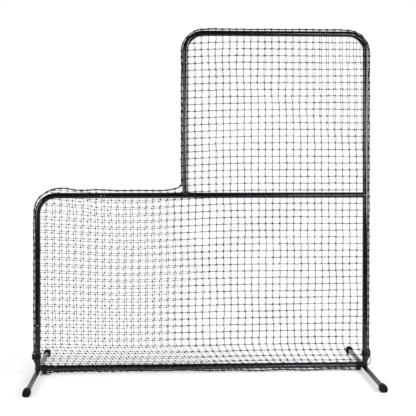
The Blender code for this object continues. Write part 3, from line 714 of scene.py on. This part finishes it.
def drape(layer, column, row, draws):
    """Where the knots of a layer lie in the screen's plane, column by column and row by row.

    An even lattice sags as a bell curve left of the middle, deeper the higher it hangs, and wanders
    as slow sines do. The back layer hangs a little aside and, on the left, higher. Near the foot
    the rows close up as 1 - exp does, and lean.
    """
    x = FIRST_KNOT[0] + MESH_WIDE * column + ROW_SHIFT * row
    z = FIRST_KNOT[1] - MESH_HIGH * row
    sag = np.exp(-(((x - SAG_X) / SAG_WIDTH) ** 2))
    z = z - sag * (SAG_LOW + SAG_MORE * np.clip(z, 0.2, 1.0))
    if layer > 0:
        loose = 1 / (1 + np.exp((x - LOOSE_X) / LOOSE_FADE))
        narrower = BACK_NARROWER * x * np.clip((z - 1.2) / 0.8, 0, 1)
        x = x + BACK_ASIDE + BACK_WIDER * x + LOOSE_ASIDE * loose - narrower
        z = z + BACK_TALLER * (z - 1.5) + LOOSE_UP * loose
    phase = draws.uniform(0, 2 * math.pi, (len(WAVES), 2))
    for (across, up), (wave, height) in zip(phase, WAVES):
        x = x + 0.001 * height * np.sin(2 * math.pi * (x + 1.7 * z) / wave + across)
        z = z + 0.001 * height * np.sin(2 * math.pi * (z - 0.6 * x) / wave + up)
    bunched = BUNCHED * np.exp(-(((z - BUNCH_Z) / BUNCH_HIGH) ** 2)) * (x < -0.5)
    x, z = x + draws.normal(0, STRAY_ASIDE + bunched), z + draws.normal(0, STRAY_UP + bunched)
    low = np.maximum(FOOT_Z - z, 0)
    closed_up = CLOSE_UP * (1 - np.exp(-low / CLOSE_UP))
    leaning = (LEAN + LEAN_MORE * ramp(-x, -0.5, 0.3)) * closed_up**1.5 / LEAN_LENGTH
    return x + leaning, np.where(low > 0, FOOT_Z - closed_up, z)


def over_tubes(layer, x, z, clear=CLEAR_OF_TUBE):
    """The strands' distance from the screen's plane: flat inside, then in to the rope.

    They run straight in past the tubes' centrelines, but where a tube is in the way they lie on it.
    """
    beyond = np.minimum(*beyond_boxes(x, z))
    share = np.clip(beyond / (beyond - past_rope(x, z)), 0, 1)
    on_tube = np.sqrt(np.maximum(clear**2 - beyond**2, 0))
    return layer * np.maximum(NET_PLANE + (NET_RIM - NET_PLANE) * share, on_tube)


def hung_strands(layer, draws):
    """The strands' centrelines, as points[strand, step], the knots' places, and those on the rope.

    Each strand runs from knot to knot, bowed by a half sine. One that crosses the rope ends there,
    at the point where halving the strand again and again finds the rope.
    """
    column, row = np.meshgrid(COLUMNS, ROWS)
    x, z = drape(layer, column, row, draws)
    inside = past_rope(x, z) < 0
    flat = np.stack([x, z], -1)
    knots = flat[past_rope(x, z) < -LAST_KNOT]
    hung, ends = [], []
    for start, end, near, far, bow in (
        (flat[:, :-1], flat[:, 1:], inside[:, :-1], inside[:, 1:], ROW_BOW),
        (flat[:-1], flat[1:], inside[:-1], inside[1:], COLUMN_BOW),
    ):
        start, end, near, far = start.reshape(-1, 2), end.reshape(-1, 2), near.ravel(), far.ravel()
        kept = near | far
        start, end, near, far = start[kept], end[kept], near[kept], far[kept]
        swap = far & ~near
        start[swap], end[swap] = end[swap], start[swap]
        crossing = near ^ far
        low, high = np.zeros(len(start)), np.ones(len(start))
        for _ in range(CLIP_STEPS):
            middle = (low + high) / 2
            place = start + (end - start) * middle[:, None]
            within = past_rope(*place.T) < 0
            low, high = np.where(within, middle, low), np.where(within, high, middle)
        end[crossing] = (start + (end - start) * low[:, None])[crossing]
        ends.append(end[crossing])
        t = np.linspace(0, 1, STRAND_STEPS + 1)[:, None]
        slack = draws.normal(1, BOW_SPREAD, (len(start), 1, 1)) * np.array(bow)
        hung.append(start[:, None] + (end - start)[:, None] * t + slack * np.sin(math.pi * t))
    hung, ends = np.concatenate(hung), np.concatenate(ends)
    hung = np.stack([hung[..., 0], over_tubes(layer, hung[..., 0], hung[..., 1]), hung[..., 1]], -1)
    clear = CLEAR_OF_TUBE + KNOT_LOOP
    knots = np.stack([knots[:, 0], over_tubes(layer, *knots.T, clear), knots[:, 1]], -1)
    return hung, knots, np.stack([ends[:, 0], 0 * ends[:, 0], ends[:, 1]], -1)


def round_cord(centre, radius, sides, out, closed=False):
    """Rings of a round cord along centre[item, step], the first spoke towards out.

    A spoke is radius (cos a n + sin a (way x n)), n being out with its part along the way removed.
    """
    if closed:
        way = np.roll(centre, -1, 1) - np.roll(centre, 1, 1)
    else:
        way = np.gradient(centre, axis=1)
    way = unit(way)
    n = unit(out - (out * way).sum(-1, keepdims=True) * way)
    angle = full_turn(sides)
    spokes = np.cos(angle) * n[..., None, :] + np.sin(angle) * np.cross(way, n)[..., None, :]
    return centre[..., None, :] + radius * spokes


def slanting(places, draws):
    """An axis in the screen's plane for each knot, about halfway between the strands that meet."""
    lean = draws.normal(math.pi / 4, KNOT_LEAN_SPREAD, len(places))
    return np.stack([np.cos(lean), 0 * lean, np.sin(lean)], -1)


def rope_slope(x, z, step):
    """How much past_rope grows from a step before each place to a step after, in x and in z."""
    slope_x = past_rope(x + step, z) - past_rope(x - step, z)
    return slope_x, past_rope(x, z + step) - past_rope(x, z - step)


def along_rope(places):
    """The rope's way at each place, which is square to past_rope's slope."""
    slope_x, slope_z = rope_slope(places[:, 0], places[:, 2], 0.001)
    return unit(np.stack([-slope_z, 0 * slope_x, slope_x], -1))


def knot_loops(places, axis, loop, pitch, draws):
    """Two turns of twine round each knot's axis, joined up.

    The turn is 4 pi t and the way along the axis is pitch cos 2 pi t, with the radius swelling by a
    sixth as sin 2 pi t so that the turns pass over one another.
    """
    t = np.arange(KNOT_STEPS) / KNOT_STEPS
    size = draws.normal(1, KNOT_SIZE_SPREAD, (len(places), 1, 1))
    axis = axis[:, None]
    side = np.cross(axis, ACROSS)
    turn, swell = 4 * math.pi * t[:, None], 1 + np.sin(2 * math.pi * t[:, None]) / 6
    out = np.cos(turn) * side + np.sin(turn) * ACROSS
    along = pitch[:, None, None] * np.cos(2 * math.pi * t[:, None])
    centre = loop[:, None, None] * swell * out + along * axis
    centre = places[:, None] + size * centre
    return centre, round_cord(centre, KNOT_TWINE, KNOT_SIDES, out, closed=True)


net_twine = twine_material("net_twine", 160.0, (0.0065, 0.007, 0.020, 1), (0.015, 0.016, 0.038, 1))
for side, layer in (("front", -1), ("back", 1)):
    draws = np.random.default_rng(7 + layer)
    strands, knots, hitches = hung_strands(layer, draws)
    rings = round_cord(strands, TWINE_RADIUS, TWINE_SIDES, ACROSS)
    twine = skin(f"{side}_net_twine", rings, lengths_along(strands), net_twine)
    axes = np.concatenate([slanting(knots, draws), along_rope(hitches)])
    counts = len(knots), len(hitches)
    sizes = np.repeat([KNOT_LOOP, ROPE_RADIUS + KNOT_TWINE / 2], counts)
    pitches = np.repeat([KNOT_PITCH, HITCH_PITCH], counts)
    loops, rings = knot_loops(np.concatenate([knots, hitches]), axes, sizes, pitches, draws)
    knotting = skin(f"{side}_net_knots", rings, lengths_along(loops), net_twine, closed=True)
    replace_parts(twine, f"net_{side}_upper", f"net_{side}_lower")
    for piece in (twine, knotting):
        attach(piece, "screen")

# The border rope. A black laid rope of three strands runs just outside the frame's tubes, all the
# way round, and carries the edge of the net.
ROPE_LAY = 0.018
ROPE_SIDES = 15
ROPE_RING = 0.0022
ROPE_GROOVE = 0.16
ARC_STEPS = 24
POST_STEPS = 12
MOVES = 4
# The rope's way from the upright's outer side, round the post's front, to under the rail: out,
# forwards and up from where post and rail meet, as shares of ROPE_REACH
POST_PLACES = (
    (1.0, 0.0, 2.9), (0.8, 0.45, 2.0), (0.35, 0.9, 1.3), (-0.5, 1.0, 0.55), (-1.15, 0.9, -0.35),
    (-1.6, 0.45, -0.9), (-2.2, 0.0, -1.0),
)
PLANE_FROM = 0.135  # above this height the rope lies in the screen's plane
RAIL_TO = 0.95  # out to here it lies under the rail


def smooth_through(places, steps):
    """A smooth curve through the places, a cubic between each two.

    Between b and c, with a before them and d after, it is b + ((c - a) t + (2a - 5b + 4c - d) tt
    + (3b - a - 3c + d) ttt) / 2. At b it runs along c - a.
    """
    a = np.concatenate([2 * places[:1] - places[1:2], places[:-2]])
    b, c = places[:-1], places[1:]
    d = np.concatenate([places[2:], 2 * places[-1:] - places[-2:-1]])
    t = (np.arange(steps) / steps)[:, None, None]
    curve = b + ((c - a) * t + (2 * a - 5 * b + 4 * c - d) * t**2 + (3 * b - a - 3 * c + d) * t**3) / 2
    return np.concatenate([curve.transpose(1, 0, 2).reshape(-1, 3), places[-1:]])


def evenly(route, spacing):
    """The same route with its points the given spacing apart."""
    gone = lengths_along(route)
    at_ways = np.linspace(0, gone[-1], round(gone[-1] / spacing) + 1)
    return np.stack([np.interp(at_ways, gone, route[:, axis]) for axis in range(3)], -1)


def arc(x, z, radius, start, end):
    """Points on a circle in the screen's plane, by degrees anticlockwise from +X."""
    turn = np.radians(np.linspace(start, end, ARC_STEPS))
    return np.stack([x + radius * np.cos(turn), 0 * turn, z + radius * np.sin(turn)], -1)


def rope_route():
    """The rope's closed route, which is moved on to the line where past_rope is nought.

    It starts under the rail, goes round the front of the right post and up the outside, and comes
    back down by the notch and the left post. Each move is along past_rope's own slope, by its value
    over the slope's square. Round the posts, between rail and plane, it keeps its places.
    """
    out, front, up = np.array(POST_PLACES).T * ROPE_REACH
    right = smooth_through(np.stack([SIDE_X + out, -front, RAIL_Z + up], -1), POST_STEPS)[::-1]
    around = BEND_RADIUS + ROPE_REACH
    route = [
        right,
        arc(SIDE_X - BEND_RADIUS, TOP_Z - BEND_RADIUS, around, 0, 90),
        arc(MID_X + BEND_RADIUS, TOP_Z - BEND_RADIUS, around, 90, 180),
        arc(MID_X - 2 * NOTCH_BEND, CROSSBAR_Z + 2 * NOTCH_BEND, NOTCH_BEND, 0, -90),
        arc(BEND_RADIUS - SIDE_X, CROSSBAR_Z - BEND_RADIUS, around, 90, 180),
        right[::-1] * (-1, 1, 1),
        right[:1],
    ]
    route = evenly(np.concatenate(route), ROPE_RING)
    step = 0.0005
    for _ in range(MOVES):
        x, z = route[:, 0], route[:, 2]
        slope_x, slope_z = (slope / (2 * step) for slope in rope_slope(x, z, step))
        under_rail = np.clip((RAIL_TO - np.abs(x)) / 0.04, 0, 1)
        moved = np.where(z < 0.02, under_rail, np.clip((z - PLANE_FROM) / 0.05, 0, 1))
        share = moved * past_rope(x, z) / (slope_x**2 + slope_z**2)
        route[:, 0] -= share * slope_x
        route[:, 2] -= share * slope_z
    return route


def carried_spokes(way):
    """A spoke for each heading of a cord, turned from one to the next only as far as they turn."""
    spokes = [ACROSS]
    for heading in way[1:]:
        spoke = spokes[-1] - (spokes[-1] @ heading) * heading
        spokes.append(spoke / np.linalg.norm(spoke))
    return np.array(spokes)


def laid_rope(name, centre, radius, lay, sides, material, closed=False):
    """A rope of three strands that wind round one another once in each lay.

    Its outline is radius (1 - groove + groove |cos 1.5 (a - 2 pi way / lay)|), carried along centre.
    """
    way = unit(np.gradient(centre, axis=0))
    n = carried_spokes(way)
    gone = lengths_along(centre)
    angle = full_turn(sides)[:, 0]
    wound = 1.5 * (angle - 2 * math.pi * gone[:, None] / lay)
    outline = radius * (1 - ROPE_GROOVE + ROPE_GROOVE * np.abs(np.cos(wound)))
    spokes = np.cos(angle)[:, None] * n[:, None] + np.sin(angle)[:, None] * np.cross(way, n)[:, None]
    grid = centre[:, None] + outline[..., None] * spokes
    return skin(name, grid[None], gone[None], material, closed=closed)


rope_twine = twine_material("rope_twine", 55.0, (0.005, 0.0055, 0.010, 1), (0.012, 0.013, 0.022, 1))
rope = laid_rope(
    "border_rope_laid", rope_route()[:-1], ROPE_RADIUS, ROPE_LAY, ROPE_SIDES, rope_twine, closed=True
)
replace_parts(rope, "border_rope")
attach(rope, "screen")

# The lacing. A thinner cord is wound round the bottom rail, the foot of the net and the border
# rope, and draws the net's foot down on to the rail. At the lower corners it is wound close, ends
# in a bow on the left, and ties the rope to the posts.
LACE_RADIUS = 0.0018
LACE_SIDES = 9
LACE_RING = 0.0015
LACE_LAY = 0.010
SIDE_LOOP_RADIUS = 0.0028
CURVE_STEPS = 16
LACE_END = 0.95
LACE_LOOPS = 22
LACE_WIDE = 0.0270
LACE_OVER = 0.0205
LOOP_STEPS = 40
ROUND_ROPE = ROPE_RADIUS + LACE_RADIUS + 0.0002
WHIP_CLOSE = TUBE_RADIUS + LACE_RADIUS + 0.0003
WHIP_TURNS = 8
WHIP_PITCH = 0.0041
WHIP_FROM_POST = 0.026
POST_WHIP_Z = 0.098
# The bow's way from the last turn: inward along the rail, to the front, and up from the floor
BOW = (
    (0.050, 0.008, 0.020), (0.056, 0.020, 0.013), (0.074, 0.021, 0.006), (0.083, 0.016, 0.011),
    (0.078, 0.014, 0.019), (0.064, 0.019, 0.018), (0.050, 0.027, 0.012), (0.036, 0.030, 0.007),
    (0.024, 0.027, 0.006), (0.021, 0.026, 0.013), (0.030, 0.028, 0.019), (0.044, 0.027, 0.013),
    (0.058, 0.027, 0.006), (0.068, 0.024, 0.012), (0.060, 0.021, 0.019), (0.046, 0.025, 0.016),
    (0.034, 0.028, 0.009), (0.026, 0.031, 0.004),
)
# The loop beside the right post: out from the post's centreline, to the front, and up from the floor
SIDE_LOOP = (
    (0.021, 0.004, 0.112), (0.026, 0.010, 0.102), (0.030, 0.013, 0.088), (0.031, 0.014, 0.072),
    (0.027, 0.016, 0.058), (0.018, 0.022, 0.048), (0.004, 0.025, 0.046), (-0.012, 0.025, 0.047),
)


def loops_round(start, end, turns, towards, near, far, wide):
    """Oval loops from start to end round a tube and the rope beside it, which lies towards.

    A loop is cos a towards, far on the rope's side and near on the other, and wide sin a across,
    with a going on from half a turn.
    """
    turn = np.linspace(0, 2 * math.pi * turns, turns * LOOP_STEPS)[:, None]
    reach = np.cos(turn + math.pi)
    share = turn / turn[-1]
    way = (end - start) / np.linalg.norm(end - start)
    aside = np.cross(way, towards)
    loops = reach * np.where(reach > 0, far, near) * towards + wide * np.sin(turn + math.pi) * aside
    return start + (end - start) * share + loops


def tied(name, route, node=None, radius=LACE_RADIUS):
    """A lacing cord along the route."""
    lace = laid_rope(name, evenly(route, LACE_RING), radius, LACE_LAY, LACE_SIDES, rope_twine)
    if node:
        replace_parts(lace, node)
    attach(lace, "screen")


ends = at(-LACE_END, RAIL_Z), at(LACE_END, RAIL_Z)
under = foot_reach(np.linspace(-LACE_END, LACE_END, LACE_LOOPS * LOOP_STEPS)[:, None]) + ROUND_ROPE
tied("foot_lacing", loops_round(*ends, LACE_LOOPS, -UP, LACE_OVER, under, LACE_WIDE), "lacing")
far = ROPE_REACH + ROUND_ROPE
for side, x, inward in SIDES:
    start = at(x, RAIL_Z) + inward * WHIP_FROM_POST
    end = start + inward * WHIP_TURNS * WHIP_PITCH
    whip = loops_round(start, end, WHIP_TURNS, -UP, WHIP_CLOSE, far, WHIP_CLOSE)
    if side == "left":
        inner, front, up = np.array(BOW).T
        bow = smooth_through(np.stack([x + inner, -front, up], -1), CURVE_STEPS)
        whip = np.concatenate([whip, bow])
    tied(f"{side}_corner_whipping", whip)
    start = at(x, POST_WHIP_Z)
    end = start + UP * WHIP_TURNS * WHIP_PITCH
    whip = loops_round(start, end, WHIP_TURNS, -inward, WHIP_CLOSE, far, WHIP_CLOSE)
    tied(f"{side}_post_whipping", whip)
out, front, up = np.array(SIDE_LOOP).T
side_loop = smooth_through(np.stack([SIDE_X + out, -front, up], -1), CURVE_STEPS)
tied("right_side_loop", side_loop, radius=SIDE_LOOP_RADIUS)

# The room. A white floor and a white surround, with soft lamps on either side and one far in front,
# and the camera in front of the screen, a little to the left and at two thirds of its height.
FLOOR_SIZE = 40.0
FLOOR_WHITE = (0.82, 0.80, 0.775, 1)
FLOOR_GLOW = 0.40
LAMP_BLUE = (0.93, 0.965, 1.0)
DARK_ROOM = 0.04
SURROUND_LIGHT = 0.50
# How far back, by direction and on the floor, gloss begins to see white and sees it in full
WHITE_BEHIND = (0.3, 0.85)
FLOOR_WHITE_BEHIND = (-0.7, 0.0)
# The oval of floor that shows shadows: how its coordinates are squeezed and shifted, and the
# lengths at which it begins to turn even white and is so
FLOOR_SQUEEZE = (0.5, 1, 0)
FLOOR_SHIFT = (0, 0.42, 0)
FLOOR_EDGE = (0.72, 1.35)
# Each lamp's name, place, target, width and height, and watts
LAMPS = (
    ("left_softbox", (-3.6, -2.6, 1.7), (0, 0, 1.0), (0.8, 2.0), 80),
    ("right_softbox", (3.4, -1.9, 1.7), (0.6, 0, 1.2), (1.1, 2.0), 150),
    ("front_softbox", (2.2, -8.0, 1.6), (0.5, 0, 1.1), (1.4, 0.9), 115),
)


def white_seen(add, light, back, near, far):
    """A strength of 1 where the camera or a refraction looks, and light where the surround lights.

    A reflection sees it white where back is over far, but dark where back is under near: in a studio
    the white sweep stands behind the object, and the room on the camera's side is dark.
    """
    path = add("LightPath", {})
    sweep = {"Value": back, "From Min": near, "From Max": far, "To Min": DARK_ROOM, "To Max": 1.0}
    sweep = add("MapRange", sweep)[0]
    gloss = add("MapRange", {"Value": path["Is Glossy Ray"], "To Min": light, "To Max": sweep})[0]
    seen = {0: path["Is Camera Ray"], 1: path["Is Transmission Ray"]}
    seen = add("Math", seen, operation="MAXIMUM")[0]
    return add("MapRange", {"Value": seen, "To Min": gloss, "To Max": 1.0})[0]


def surround(world, light):
    """A white world. Gloss sees it white or dark by how far back the direction points."""
    world.use_nodes = True
    tree = world.node_tree
    background = tree.nodes["Background"]
    background.inputs["Color"].default_value = (1, 1, 1, 1)
    add = node_adder(tree)
    back = add("SeparateXYZ", {"Vector": add("TexCoord", {})["Generated"]})[1]
    tree.links.new(white_seen(add, light, back, *WHITE_BEHIND), background.inputs["Strength"])


def soft_lamp(name, place, target, size, watts):
    """An oblong lamp at place that faces target."""
    data = bpy.data.lights.new(name, "AREA")
    data.shape = "RECTANGLE"
    data.size, data.size_y = size
    data.energy = watts
    data.color = LAMP_BLUE
    lamp = new_object(name, data)
    lamp.location = place
    away = np.array(place) - np.array(target)
    flat = math.hypot(away[0], away[1])
    lamp.rotation_euler = (math.atan2(flat, away[2]), 0, math.atan2(away[0], -away[1]))


world = bpy.data.worlds.new("white_surround")
bpy.context.scene.world = world
surround(world, SURROUND_LIGHT)
material, shader, add, wire = node_material("white_floor")
back = add("SeparateXYZ", {"Vector": add("TexCoord", {})["Object"]})[1]
lit = white_seen(add, 0.0, back, *FLOOR_WHITE_BEHIND)
shader.inputs["Roughness"].default_value = 0.9
shader.inputs["Specular IOR Level"].default_value = 0.0
shader.inputs["Emission Color"].default_value = (1, 1, 1, 1)
place = {0: add("TexCoord", {})["Object"], 1: FLOOR_SQUEEZE, 2: FLOOR_SHIFT}
place = add("VectorMath", place, operation="MULTIPLY_ADD")[0]
away = add("VectorMath", {0: place}, operation="LENGTH")["Value"]
edge = {"Value": away, "From Min": FLOOR_EDGE[0], "From Max": FLOOR_EDGE[1]}
far = add("MapRange", edge)[0]
glow = add("MapRange", {"Value": far, "To Min": FLOOR_GLOW, "To Max": 1.0})[0]
wire("Emission Strength", add("Math", {0: lit, 1: glow}, operation="MULTIPLY")[0])
wire("Base Color", add("Mix", {0: far, 6: FLOOR_WHITE, 7: (0, 0, 0, 1)}, data_type="RGBA")[2])
floor_mesh = bpy.data.meshes.new("floor")
half = FLOOR_SIZE / 2
corners = [(-half, -half, 0), (half, -half, 0), (half, half, 0), (-half, half, 0)]
floor_mesh.from_pydata(corners, [], [(0, 1, 2, 3)])
floor_mesh.materials.append(material)
floor = new_object("floor", floor_mesh)
for lamp in LAMPS:
    soft_lamp(*lamp)

camera_data = bpy.data.cameras.new("camera")
camera_data.lens = 81.68
camera_data.sensor_width = 36
camera_data.shift_y = -0.1465
camera = new_object("camera", camera_data)
camera.location = (-0.2727, -5.959, 1.491)
camera.rotation_euler = (math.pi / 2 - 0.01, -0.001, -0.05107)
bpy.context.scene.camera = camera
bpy.context.scene.view_settings.view_transform = "Standard"
